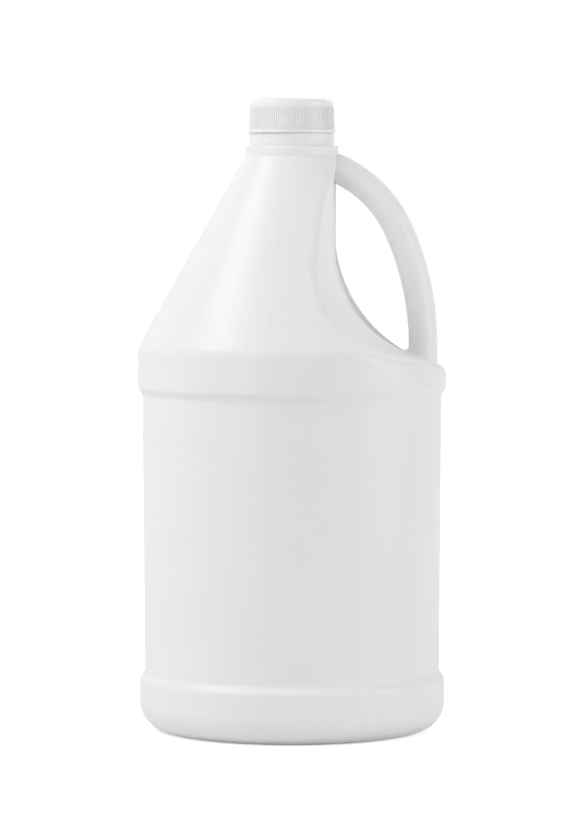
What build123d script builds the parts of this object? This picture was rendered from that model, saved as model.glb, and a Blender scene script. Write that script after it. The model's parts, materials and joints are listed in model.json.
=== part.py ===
from build123d import *
import os
from math import cos, degrees, radians, sin, tan

# A round one-gallon jug, blow moulded in one piece with a hollow handle, and its ribbed screw cap.
# Sizes are in millimetres and degrees. The jug stands on Z = 0 about the Z axis,
# its handle points to +X, and the mould halves part on the plane Y = 0.

# Blown wall
wall = 1.0

# Base and base band
base_band_radius = 76.4
base_band_height = 26.0
heel_round = 14.0
stand_ring_width = 6.4
push_up_slope = 8.0
push_up_height = 4.5
push_up_round = 5.0
base_seam_length = 84.0
base_seam_height = 1.0
seam_thickness = 1.8

# Label panel, set in between the two bands
panel_foot_radius = 73.9
panel_top_radius = 74.8
panel_height = 138.5
band_step_height = 3.5
band_edge_round = 2.6
panel_corner_round = 2.4

# Shoulder band and cone
shoulder_band_radius = 77.0
shoulder_band_height = 19.7
shoulder_round = 8.0
cone_height = 96.0

# Neck, from the foot of the ledge up
ledge_radius = 23.1
ledge_lip = 0.15
ledge_height = 4.7
collar_radius = 21.0
collar_height = 6.2
finish_radius = 17.6
finish_height = 14.5
bore_radius = 15.8
neck_edge_round = 0.7

# Handle eye, scooped into the cone from each mould half
eye_wall_offset = 0.85
eye_floor_height = 9.7
eye_floor_angle = 23.0
eye_arc_radius = 58.0
eye_wall_draft = 11.2
eye_wall_run = 24.0
eye_floor_draft = 1.2
eye_front_radius = 46.0
eye_edge_round = 5.0
eye_fin_depth = 1.6
eye_fin_rise = 9.0

# Hollow handle, an oval tube along a straight run and two arcs
handle_thickness = 14.4
handle_width = 20.0
handle_set_in = 4.2
handle_run = 6.5
handle_lower_turn = 24.5
handle_turn = 67.0
handle_drop = 6.2
handle_sink = 7.0
handle_foot_round = 2.0

# Screw cap and its sealing disc
thread_height = 1.15
thread_clearance = 0.3
cap_wall = 1.95
cap_top = 1.7
cap_gap = 0.15
cap_draft = 1.8
cap_bead_height = 1.8
cap_bead_width = 0.7
cap_bead_round = 0.3
crown_height = 3.0
crown_inset = 0.05
crown_round = 2.4
rib_count = 112
rib_height = 0.35
rib_width = 0.95
rib_side_angle = 70.0
rib_end_height = 3.5
liner_thickness = 1.0
liner_clearance = 0.3

# Places closer than this count as one when edges are picked
touch = 0.01

# Heights that follow from the sizes above
panel_foot_z = base_band_height + band_step_height
panel_top_z = panel_foot_z + panel_height
shoulder_band_z = panel_top_z + band_step_height
cone_z = shoulder_band_z + shoulder_band_height
ledge_z = cone_z + cone_height
collar_z = ledge_z + ledge_height
finish_z = collar_z + collar_height
mouth_z = finish_z + finish_height

# The stand ring ends where the heel begins
stand_ring_radius = base_band_radius - heel_round - stand_ring_width
push_up_radius = stand_ring_radius - push_up_slope

# The eye's wall, and its floor, which falls towards the shoulder band
eye_wall_x = collar_radius + eye_wall_offset
eye_wall_z = ledge_z - eye_wall_run
eye_floor_z = shoulder_band_z + eye_floor_height
eye_slope = radians(eye_floor_angle)
eye_turn = radians(90 - eye_floor_angle)
eye_corner_z = eye_floor_z + (shoulder_band_radius - eye_wall_x) * tan(eye_slope)

# The arc between them ends before the handle's inner side
handle_x = shoulder_band_radius - handle_set_in - handle_thickness / 2
handle_inner_x = handle_x - handle_thickness / 2
eye_floor_run = (handle_inner_x - eye_wall_x) / cos(eye_slope)
eye_radius = min(eye_arc_radius, eye_floor_run / tan(eye_turn / 2))
eye_arc_z = eye_corner_z + eye_radius * tan(eye_turn / 2)
eye_centre_x = eye_wall_x + eye_radius

# The same outline at the front of the scoop, drafted outwards, where the floor starts out level
front_wall_x = eye_wall_x - shoulder_band_radius * tan(radians(eye_wall_draft))
front_sunk = shoulder_band_radius * tan(radians(eye_floor_draft))
front_floor_z = eye_floor_z + (shoulder_band_radius - handle_inner_x) * tan(eye_slope) - front_sunk
front_radius = min(eye_front_radius, handle_inner_x - front_wall_x)

# The handle's centre line: where its straight run starts and ends, and where it reaches the neck
handle_floor_z = eye_floor_z + (shoulder_band_radius - handle_x) * tan(eye_slope)
handle_foot_z = handle_floor_z - handle_sink
handle_bend_z = handle_floor_z + handle_run
handle_neck_z = ledge_z - handle_drop

# The throat under the neck, and the middle of the pinch-off fin's edge
throat_radius = collar_radius - wall
throat_z = ledge_z - ledge_height
fin_radius = eye_radius - eye_fin_depth
fin_middle = (eye_centre_x - fin_radius * cos(eye_turn / 2), eye_arc_z - fin_radius * sin(eye_turn / 2))

# The cap hangs by its top on the sealing disc, which lies on the mouth
cap_z = finish_z + cap_gap
seal_z = mouth_z + liner_thickness
cap_top_z = seal_z + cap_top
crown_z = cap_top_z - crown_height
cap_inner_radius = finish_radius + thread_height + thread_clearance
skirt_radius = cap_inner_radius + cap_wall
skirt_taper = (crown_z - cap_z) * tan(radians(cap_draft))
crown_radius = skirt_radius - skirt_taper - crown_inset


def handle_radii():
    """Radii of the two tangent arcs that carry the handle from its straight run to the neck."""
    low = radians(handle_lower_turn)
    full = radians(handle_turn)
    across = handle_x - eye_wall_x
    up = handle_neck_z - handle_bend_z
    low_across = 1 - cos(low)
    high_across = cos(low) - cos(full)
    low_up = sin(low)
    high_up = sin(full) - sin(low)
    spread = low_across * high_up - high_across * low_up
    lower_radius = (across * high_up - high_across * up) / spread
    upper_radius = (low_across * up - across * low_up) / spread
    return lower_radius, upper_radius


def eye_line(inset, top_z, end_x):
    """The eye's wall, arc and floor in the parting plane, set in by the inset."""
    wall_x = eye_wall_x - inset
    sunk = inset / cos(eye_slope)
    corner_z = eye_floor_z + (shoulder_band_radius - wall_x) * tan(eye_slope) - sunk
    end_z = eye_floor_z + (shoulder_band_radius - end_x) * tan(eye_slope) - sunk
    corners = ((wall_x, top_z), (wall_x, corner_z), (end_x, end_z))
    return FilletPolyline(*corners, radius=[eye_radius + inset])


def front_line(inset, top_z, end_x):
    """The same three lines at the front of the scoop; the floor leaves the arc level, then falls."""
    wall_x = front_wall_x - inset
    upright = Line((wall_x, top_z), (wall_x, front_floor_z + front_radius))
    arc = JernArc(upright @ 1, upright % 1, front_radius + inset, 90)
    run = (end_x - front_wall_x - front_radius) / 3
    sunk = front_sunk + inset / cos(eye_slope)
    end_z = eye_floor_z + (shoulder_band_radius - end_x) * tan(eye_slope) - sunk
    floor = Bezier(
        arc @ 1,
        arc @ 1 + (run, 0),
        (end_x - run, end_z + run * tan(eye_slope)),
        (end_x, end_z),
    )
    return Wire([upright, arc, floor])


def mould_half(inset):
    """One half of the jug below the ledge, on the -Y side, with every face set in by the inset."""
    plug_top = ledge_z + eye_edge_round
    plug_side = shoulder_band_radius + eye_edge_round
    lower_radius, upper_radius = handle_radii()
    upper_sweep = handle_turn - handle_lower_turn + degrees(handle_sink / upper_radius)
    with BuildPart() as half:
        # Body of revolution: push-up, heel, bands, label panel and cone
        with BuildSketch(Plane.XZ):
            with BuildLine():
                side = FilletPolyline(
                    (0, push_up_height),
                    (push_up_radius, push_up_height),
                    (stand_ring_radius, 0),
                    (base_band_radius, 0),
                    (base_band_radius, base_band_height),
                    (panel_foot_radius, panel_foot_z),
                    (panel_top_radius, panel_top_z),
                    (shoulder_band_radius, shoulder_band_z),
                    (shoulder_band_radius, cone_z),
                    (ledge_radius - ledge_lip, ledge_z),
                    (0, ledge_z),
                    radius=[
                        push_up_round,
                        push_up_round,
                        heel_round,
                        band_edge_round,
                        panel_corner_round,
                        panel_corner_round,
                        band_edge_round,
                        shoulder_round,
                        0,
                    ],
                )
                Line(side @ 1, side @ 0)
            make_face()
            mirror(about=Plane.YZ)
            if inset:
                offset(amount=-inset, kind=Kind.INTERSECTION, mode=Mode.REPLACE)
            split(bisect_by=Plane.YZ)
        revolve(axis=Axis.Z, revolution_arc=-180)

        # Handle eye, drafted from the parting plane, with its front edge rounded over
        for depth, outline in ((0, eye_line), (shoulder_band_radius, front_line)):
            with BuildSketch(Plane.XZ.offset(depth)):
                with BuildLine():
                    eye = outline(inset, eye_wall_z, plug_side)
                    Bezier(
                        eye @ 0,
                        eye @ 0 + (0, eye_wall_run / 3),
                        (eye_wall_x - inset, ledge_z - eye_wall_run / 3),
                        (eye_wall_x - inset, ledge_z),
                    )
                    Polyline(
                        (eye_wall_x - inset, ledge_z),
                        (eye_wall_x - inset, plug_top),
                        (plug_side, plug_top),
                        eye @ 1,
                    )
                make_face()
        loft(ruled=True, mode=Mode.SUBTRACT)
        eye_edges = half.edges(Select.LAST).filter_by(GeomType.LINE, reverse=True)
        eye_edges = eye_edges.filter_by(
            lambda edge: edge.center().Y < -touch and edge.center().Z < ledge_z - inset - touch
        )
        fillet(eye_edges, radius=eye_edge_round - inset)

        # Half of the handle's oval tube
        with BuildLine(Plane.XZ) as centre_line:
            run = Line((handle_x, handle_foot_z), (handle_x, handle_bend_z))
            lower = JernArc(run @ 1, run % 1, lower_radius, handle_lower_turn)
            JernArc(lower @ 1, lower % 1, upper_radius, upper_sweep)
        with BuildSketch(Plane((handle_x, 0, handle_foot_z))):
            Ellipse(handle_thickness / 2 - inset, handle_width / 2 - inset)
            split(bisect_by=Plane.XZ)
        sweep(path=centre_line.wire())

        # Soft corner where the handle grows out of the floor; the inside stays plain
        if not inset:
            roots = half.edges(Select.LAST).filter_by(GeomType.BSPLINE)
            foot = roots.sort_by_distance((handle_x, -handle_width / 2, handle_floor_z))[0]
            fillet(foot, radius=handle_foot_round)
    return half.part


outside = mould_half(0)
hollow = mould_half(wall)

with BuildPart() as bottle:
    # Both mould halves, closed by the ledge, collar and finish of the neck
    add(outside)
    mirror(about=Plane.XZ)
    with BuildSketch(Plane.XZ):
        with BuildLine():
            neck = FilletPolyline(
                (0, ledge_z),
                (ledge_radius, ledge_z),
                (ledge_radius, collar_z),
                (collar_radius, collar_z),
                (collar_radius, finish_z),
                (finish_radius, finish_z),
                (finish_radius, mouth_z),
                (0, mouth_z),
                radius=[0, neck_edge_round, 0, 0, 0, neck_edge_round],
            )
            Line(neck @ 1, neck @ 0)
        make_face()
    revolve(axis=Axis.Z)

    # The hollow inside, with the throat and bore of the neck
    add(hollow, mode=Mode.SUBTRACT)
    add(hollow.mirror(Plane.XZ), mode=Mode.SUBTRACT)
    with BuildSketch(Plane.XZ):
        with BuildLine():
            Polyline(
                (0, throat_z),
                (throat_radius, throat_z),
                (throat_radius, collar_z),
                (bore_radius, finish_z),
                (bore_radius, mouth_z),
                (0, mouth_z),
                close=True,
            )
        make_face()
    revolve(axis=Axis.Z, mode=Mode.SUBTRACT)

    # Trimmed pinch-off fin in the eye, and the pinch-off seam under the base
    with BuildSketch(Plane.XZ):
        with BuildLine():
            eye = eye_line(wall / 2, eye_arc_z + eye_fin_rise, handle_inner_x)
            ThreePointArc(eye @ 0, fin_middle, eye @ 1)
        make_face()
    extrude(amount=seam_thickness / 2, both=True)
    with BuildSketch(Plane.XZ):
        with Locations((0, push_up_height + wall / 2)):
            Rectangle(base_seam_length, base_seam_height + wall / 2, align=(Align.CENTER, Align.MAX))
    extrude(amount=seam_thickness / 2, both=True)
bottle.part.label = "bottle"

with BuildPart() as cap:
    # Ribbed skirt, drawn in towards the top
    for height, radius in ((cap_z, skirt_radius), (crown_z, skirt_radius - skirt_taper)):
        with BuildSketch(Plane.XY.offset(height)):
            Circle(radius)
            with PolarLocations(radius - rib_height, rib_count):
                Trapezoid(
                    rib_width,
                    2 * rib_height,
                    rib_side_angle,
                    rotation=-90,
                    align=(Align.CENTER, Align.MIN),
                )
    loft(ruled=True)

    # Ribs run out below the crown
    with BuildSketch(Plane.XZ):
        with BuildLine():
            Polyline(
                (crown_radius, crown_z),
                (skirt_radius + rib_height, crown_z - rib_end_height),
                (skirt_radius + rib_height, crown_z),
                close=True,
            )
        make_face()
    revolve(axis=Axis.Z, mode=Mode.SUBTRACT)

    # Rounded crown and the bead round the open end
    with BuildSketch(Plane.XZ):
        with BuildLine():
            crown = FilletPolyline(
                (0, crown_z - rib_end_height),
                (crown_radius, crown_z - rib_end_height),
                (crown_radius, cap_top_z),
                (0, cap_top_z),
                radius=[0, crown_round],
            )
            Line(crown @ 1, crown @ 0)
        make_face()
    revolve(axis=Axis.Z)
    with BuildSketch(Plane.XZ):
        with BuildLine():
            bead = FilletPolyline(
                (0, cap_z),
                (skirt_radius + cap_bead_width, cap_z),
                (skirt_radius + cap_bead_width, cap_z + cap_bead_height),
                (0, cap_z + cap_bead_height),
                radius=cap_bead_round,
            )
            Line(bead @ 1, bead @ 0)
        make_face()
    revolve(axis=Axis.Z)

    # Open inside
    with BuildSketch(Plane.XY.offset(cap_z)):
        Circle(cap_inner_radius)
    extrude(amount=seal_z - cap_z, mode=Mode.SUBTRACT)
cap.part.label = "cap"

with BuildPart() as cap_liner:
    with BuildSketch(Plane.XY.offset(mouth_z)):
        Circle(cap_inner_radius - liner_clearance)
    extrude(amount=liner_thickness)
cap_liner.part.label = "cap_liner"

os.makedirs("parts", exist_ok=True)
export_step(bottle.part, "parts/bottle.step")
export_step(cap.part, "parts/cap.step")
export_step(cap_liner.part, "parts/cap_liner.step")
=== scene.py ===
import json
import math

import bmesh
import bpy
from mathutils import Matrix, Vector


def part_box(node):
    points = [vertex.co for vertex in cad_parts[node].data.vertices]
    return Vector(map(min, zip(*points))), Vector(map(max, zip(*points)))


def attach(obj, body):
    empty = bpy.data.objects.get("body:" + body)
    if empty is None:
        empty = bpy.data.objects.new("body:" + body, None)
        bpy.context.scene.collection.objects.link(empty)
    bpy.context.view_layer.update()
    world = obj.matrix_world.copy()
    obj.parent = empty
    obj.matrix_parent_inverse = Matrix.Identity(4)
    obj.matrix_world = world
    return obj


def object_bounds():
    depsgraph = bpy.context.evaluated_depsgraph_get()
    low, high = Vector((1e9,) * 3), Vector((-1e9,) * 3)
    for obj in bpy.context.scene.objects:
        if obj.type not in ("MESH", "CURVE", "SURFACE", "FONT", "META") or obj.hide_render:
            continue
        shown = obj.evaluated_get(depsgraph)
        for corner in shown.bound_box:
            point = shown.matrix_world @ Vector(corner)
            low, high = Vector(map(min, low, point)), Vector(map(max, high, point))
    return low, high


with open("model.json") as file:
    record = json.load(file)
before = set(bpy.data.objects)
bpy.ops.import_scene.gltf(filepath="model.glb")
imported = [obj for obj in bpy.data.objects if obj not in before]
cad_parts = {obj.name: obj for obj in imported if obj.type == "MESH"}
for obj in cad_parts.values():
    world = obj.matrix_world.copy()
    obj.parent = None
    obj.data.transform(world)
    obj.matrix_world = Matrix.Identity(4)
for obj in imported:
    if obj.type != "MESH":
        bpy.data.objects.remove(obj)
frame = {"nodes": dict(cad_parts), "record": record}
cad_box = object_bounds()

# Places read from the frame, in metres
MOUTH_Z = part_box("bottle")[1].z
LINER_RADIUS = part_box("cap_liner")[1].x

# Screw thread: the pitch is the frame's own, so the ridges stay clear of each other
# as the cap turns
FULL_TURN = 2 * math.pi
PITCH = frame["record"]["behaviour"]["couplings"][0]["ratio"] * FULL_TURN
FINISH_RADIUS = 0.0176
LINER_CLEARANCE = 0.0003
CAP_BORE_RADIUS = LINER_RADIUS + LINER_CLEARANCE
THREAD_HEIGHT = 0.00105
THREAD_BASE = 0.0023
THREAD_CREST = 0.0009
THREAD_SINK = 0.0003
THREAD_STEPS_A_TURN = 72
THREAD_FADE_STEPS = 9
NECK_THREAD_TURNS = 1.35
NECK_THREAD_TOP = 0.0022
NECK_THREAD_Z = MOUTH_Z - NECK_THREAD_TOP - THREAD_BASE / 2 - NECK_THREAD_TURNS * PITCH
CAP_THREAD_TURNS = 1.5
CAP_THREAD_Z = NECK_THREAD_Z - PITCH / 2

# Each white's darker and lighter tone
JUG_TONES = (0.855, 0.855, 0.855, 1), (0.885, 0.885, 0.885, 1)
CAP_TONES = (0.86, 0.86, 0.86, 1), (0.89, 0.89, 0.89, 1)
FOAM_TONES = (0.80, 0.80, 0.79, 1), (0.90, 0.90, 0.89, 1)
FLOOR_WHITE = (0.88, 0.88, 0.88, 1)
PURE_WHITE = (1, 1, 1, 1)

# What is the same all over a plastic. The jug's gloss is all in its waxy skin, the coat.
JUG_FINISH = {
    "IOR": 1.53,
    "Specular IOR Level": 0.0,
    "Coat Weight": 0.3,
    "Coat IOR": 1.85,
    "Coat Roughness": 0.33,
    "Subsurface Weight": 0.3,
    "Subsurface Radius": (1.0, 1.0, 1.0),
    "Subsurface Scale": 0.0015,
}
CAP_FINISH = {"IOR": 1.49, "Specular IOR Level": 0.35}

# The mould's parting line, raised where the two halves met: from its edge to its full height
PARTING_LINE = {"From Min": 0.0006, "From Max": 0.0002}

# The floor's white fill: weaker near the jug, so that its contact shadow shows
FLOOR_REACH = 6.0
FLOOR_FILL = {"From Min": 0.3, "From Max": 1.8, "To Min": 0.54, "To Max": 0.75}

# Studio light: the even light from all round, and the softboxes, each with its azimuth and
# elevation in degrees, distance and size in metres, and power in watts
AMBIENT = 0.345
SOFTBOXES = [
    ("left_softbox", -77, 48, 1.6, (0.7, 0.55), 7.1),
    ("left_shoulder_softbox", -54, 46, 1.6, (0.9, 0.8), 3.0),
    ("left_front_softbox", -38, 14, 1.8, (0.9, 1.2), 5.6),
    ("top_front_softbox", -20, 70, 1.6, (0.9, 0.9), 0.9),
    ("right_softbox", 73, 14, 1.8, (1.0, 1.2), 11.4),
    ("back_left_softbox", -150, 35, 1.8, (1.2, 1.2), 2.5),
    ("back_right_softbox", 150, 35, 1.8, (1.2, 1.2), 3.6),
]

# The photograph's camera: as high as the jug's upper cone, looking slightly down
CAMERA_DISTANCE = 2.040
CAMERA_HEIGHT = 0.2725
CAMERA_PITCH = math.radians(3.15)
CAMERA_SENSOR = 36.0
CAMERA_REACH = 50.0
FOCAL_PIXELS = 4081
PICTURE_HEIGHT = 819


def add_node(tree, kind, *numbered, **named):
    """A shader node with some of its input sockets set or linked, by place or by name."""
    made = tree.nodes.new(kind)
    for key, value in [*enumerate(numbered), *named.items()]:
        socket = made.inputs[key]
        if isinstance(value, bpy.types.NodeSocket):
            tree.links.new(value, socket)
        else:
            socket.default_value = value
    return made


def maths(tree, operation, first, second=0.0):
    made = add_node(tree, "ShaderNodeMath", first, second)
    made.operation = operation
    return made.outputs[0]


def vector_maths(tree, operation, first, second=(0.0, 0.0, 0.0)):
    made = add_node(tree, "ShaderNodeVectorMath", first, second)
    made.operation = operation
    return made.outputs["Value" if operation == "LENGTH" else "Vector"]


def spread(tree, value, **ends):
    """A value mapped from one range to another; a range that isn't given is 0 to 1."""
    return add_node(tree, "ShaderNodeMapRange", Value=value, **ends).outputs[0]


def noise(tree, vector, scale, detail=2.0):
    made = add_node(tree, "ShaderNodeTexNoise", Vector=vector, Scale=scale, Detail=detail)
    return made.outputs[0]


def bump(tree, value, height, under=None):
    """A bump of that height in metres, laid over the normal of another one."""
    made = add_node(tree, "ShaderNodeBump", Height=value, Distance=height)
    if under is not None:
        tree.links.new(under, made.inputs["Normal"])
    return made.outputs[0]


def new_material(name):
    """A node material with its shader, and the object's own coordinates."""
    made = bpy.data.materials.new(name)
    made.use_nodes = True
    tree = made.node_tree
    shader = tree.nodes["Principled BSDF"]
    place = tree.nodes.new("ShaderNodeTexCoord").outputs["Object"]
    return made, tree, shader, place


def dress(tree, shader, normal, tone_by, tones, rough_by, roughness):
    """Links a shader's bumps, its tone between two whites, and its roughness between two ends."""
    tree.links.new(normal, shader.inputs["Normal"])
    ramp = add_node(tree, "ShaderNodeValToRGB", Fac=tone_by)
    for stop, tone in zip(ramp.color_ramp.elements, tones):
        stop.color = tone
    tree.links.new(ramp.outputs["Color"], shader.inputs["Base Color"])
    low, high = roughness
    rough = spread(tree, rough_by, **{"To Min": low, "To Max": high})
    tree.links.new(rough, shader.inputs["Roughness"])


def set_finish(shader, finish):
    for name, value in finish.items():
        shader.inputs[name].default_value = value


def around_axis(tree, place, fineness, along):
    """Coordinates round the jug's axis, on which a noise makes streaks up and down."""
    flat = vector_maths(tree, "MULTIPLY", place, (1.0, 1.0, 0.0))
    turned = vector_maths(tree, "NORMALIZE", flat)
    wide = vector_maths(tree, "MULTIPLY", turned, (fineness, fineness, 0.0))
    tall = vector_maths(tree, "MULTIPLY", place, (0.0, 0.0, along))
    return vector_maths(tree, "ADD", wide, tall)


def blown_plastic():
    """White polyethylene from the mould: satin, a little wavy, in patches of fine die streaks."""
    made, tree, shader, place = new_material("blown_white_plastic")
    fine = noise(tree, around_axis(tree, place, fineness=30.0, along=2.5), scale=1.0)
    patches = noise(tree, around_axis(tree, place, fineness=5.0, along=6.0), scale=1.0, detail=1.0)
    streaks = maths(tree, "MULTIPLY", fine, patches)
    waves = noise(tree, place, scale=22.0, detail=1.0)
    grain = noise(tree, place, scale=1400.0)
    depth = add_node(tree, "ShaderNodeSeparateXYZ", Vector=place).outputs["Y"]
    parting_line = spread(tree, maths(tree, "ABSOLUTE", depth), **PARTING_LINE)
    normal = bump(tree, waves, height=0.0008)
    normal = bump(tree, streaks, height=0.00024, under=normal)
    normal = bump(tree, grain, height=0.00001, under=normal)
    normal = bump(tree, parting_line, height=0.00008, under=normal)
    dress(tree, shader, normal, waves, JUG_TONES, streaks, roughness=(0.28, 0.46))
    tree.links.new(normal, shader.inputs["Coat Normal"])
    set_finish(shader, JUG_FINISH)
    return made


def cap_plastic():
    """White polypropylene, injection moulded, a little glossier and smoother than the jug."""
    made, tree, shader, place = new_material("moulded_white_cap")
    grain = noise(tree, place, scale=1800.0)
    cloud = noise(tree, place, scale=90.0)
    normal = bump(tree, cloud, height=0.00002)
    normal = bump(tree, grain, height=0.000003, under=normal)
    dress(tree, shader, normal, cloud, CAP_TONES, cloud, roughness=(0.22, 0.30))
    set_finish(shader, CAP_FINISH)
    return made


def liner_foam():
    """Matt white foam with fine cells."""
    made, tree, shader, place = new_material("sealing_foam")
    cells = noise(tree, place, scale=2600.0, detail=4.0)
    normal = bump(tree, cells, height=0.00004)
    dress(tree, shader, normal, cells, FOAM_TONES, cells, roughness=(0.7, 0.9))
    return made


def wear(piece, material):
    """Gives a piece that material alone."""
    piece.data.materials.clear()
    piece.data.materials.append(material)


def place_in_scene(name, data):
    made = bpy.data.objects.new(name, data)
    bpy.context.scene.collection.objects.link(made)
    return made


def new_piece(name, shape, material):
    """An object at the origin with the finished shape as its mesh."""
    mesh = bpy.data.meshes.new(name)
    shape.to_mesh(mesh)
    shape.free()
    made = place_in_scene(name, mesh)
    made.data.materials.append(material)
    return made


def thread(name, body, material, wall_radius, outward, turns, start_z):
    """A ridge that winds up a round wall and fades out at both ends.

    outward is 1 on a neck and -1 in a cap.
    """
    shape = bmesh.new()
    foot = wall_radius - outward * THREAD_SINK
    crest = wall_radius + outward * THREAD_HEIGHT
    corners = [
        (foot, start_z - THREAD_BASE / 2),
        (crest, start_z - THREAD_CREST / 2),
        (crest, start_z + THREAD_CREST / 2),
        (foot, start_z + THREAD_BASE / 2),
    ]
    section = shape.faces.new([shape.verts.new((radius, 0.0, z)) for radius, z in corners])
    steps = round(turns * THREAD_STEPS_A_TURN)
    bmesh.ops.spin(
        shape, geom=[section, *section.edges, *section.verts], axis=(0, 0, 1), cent=(0, 0, 0),
        dvec=(0, 0, turns * PITCH / steps), angle=turns * FULL_TURN, steps=steps,
    )
    shape.verts.ensure_lookup_table()
    for number, point in enumerate(shape.verts):
        step = number // len(corners)
        fade = min(1.0, min(step, steps - step) / THREAD_FADE_STEPS)
        radius = math.hypot(point.co.x, point.co.y)
        kept = (foot + (radius - foot) * math.sin(fade * math.pi / 2)) / radius
        point.co.x *= kept
        point.co.y *= kept
    bmesh.ops.recalc_face_normals(shape, faces=shape.faces)
    piece = new_piece(name, shape, material)
    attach(piece, body)


def seen_directly(tree):
    """1 for the camera's own rays and those of gloss and glass, 0 for the light on the jug."""
    path = tree.nodes.new("ShaderNodeLightPath")
    seen = maths(tree, "MAXIMUM", path.outputs["Is Camera Ray"], path.outputs["Is Glossy Ray"])
    return maths(tree, "MAXIMUM", seen, path.outputs["Is Transmission Ray"])


def white_stage():
    """Pale floor that stays white to the camera, apart from the jug's own soft shadow."""
    shape = bmesh.new()
    bmesh.ops.create_grid(shape, x_segments=1, y_segments=1, size=FLOOR_REACH)
    paint = bpy.data.materials.new("floor_white")
    paint.use_nodes = True
    tree = paint.node_tree
    tree.nodes.clear()
    seen = seen_directly(tree)
    board = add_node(tree, "ShaderNodeBsdfDiffuse", Color=FLOOR_WHITE)
    place = tree.nodes.new("ShaderNodeTexCoord").outputs["Object"]
    fill = spread(tree, vector_maths(tree, "LENGTH", place), **FLOOR_FILL)
    glow = add_node(
        tree, "ShaderNodeEmission", Color=PURE_WHITE, Strength=maths(tree, "MULTIPLY", seen, fill),
    )
    both = add_node(tree, "ShaderNodeAddShader", board.outputs[0], glow.outputs[0])
    add_node(tree, "ShaderNodeOutputMaterial", Surface=both.outputs[0])
    floor = new_piece("floor", shape, paint)


def white_world():
    """A white surround to the camera and to gloss, and even light on everything else."""
    world = bpy.data.worlds.new("studio_white")
    bpy.context.scene.world = world
    world.use_nodes = True
    tree = world.node_tree
    strength = spread(tree, seen_directly(tree), **{"To Min": AMBIENT, "To Max": 1.0})
    background = tree.nodes["Background"]
    background.inputs["Color"].default_value = PURE_WHITE
    tree.links.new(strength, background.inputs["Strength"])


def softbox(name, azimuth, elevation, distance, size, power):
    """An area lamp that faces the jug's middle.

    Azimuth 0 is the camera's side, and positive is to the right.
    """
    lamp = bpy.data.lights.new(name, "AREA")
    lamp.shape = "RECTANGLE"
    lamp.size, lamp.size_y = size
    lamp.energy = power
    holder = place_in_scene(name, lamp)
    turn, rise = math.radians(azimuth), math.radians(elevation)
    level = math.cos(rise)
    away = Vector((math.sin(turn) * level, -math.cos(turn) * level, math.sin(rise)))
    middle = Vector((0, 0, (cad_box[0].z + cad_box[1].z) / 2))
    holder.location = middle + away * distance
    holder.rotation_euler = away.to_track_quat("Z", "Y").to_euler()


def photograph_camera():
    """The picture is taller than wide, so the sensor's size goes with its height."""
    camera = bpy.data.cameras.new("camera")
    holder = place_in_scene("camera", camera)
    camera.sensor_width = CAMERA_SENSOR
    camera.lens = CAMERA_SENSOR * FOCAL_PIXELS / PICTURE_HEIGHT
    camera.clip_end = CAMERA_REACH
    holder.location = (0.0, -CAMERA_DISTANCE, CAMERA_HEIGHT)
    holder.rotation_euler = (math.pi / 2 - CAMERA_PITCH, 0.0, 0.0)
    bpy.context.scene.camera = holder


jug_white = blown_plastic()
cap_white = cap_plastic()
wear(frame["nodes"]["bottle"], jug_white)
wear(frame["nodes"]["cap"], cap_white)
wear(frame["nodes"]["cap_liner"], liner_foam())

thread(
    "neck_thread", "jug", jug_white,
    wall_radius=FINISH_RADIUS, outward=1, turns=NECK_THREAD_TURNS, start_z=NECK_THREAD_Z,
)
thread(
    "cap_thread", "cap", cap_white,
    wall_radius=CAP_BORE_RADIUS, outward=-1, turns=CAP_THREAD_TURNS, start_z=CAP_THREAD_Z,
)

white_stage()
white_world()
for lamp_line in SOFTBOXES:
    softbox(*lamp_line)
photograph_camera()
bpy.context.scene.view_settings.view_transform = "Standard"
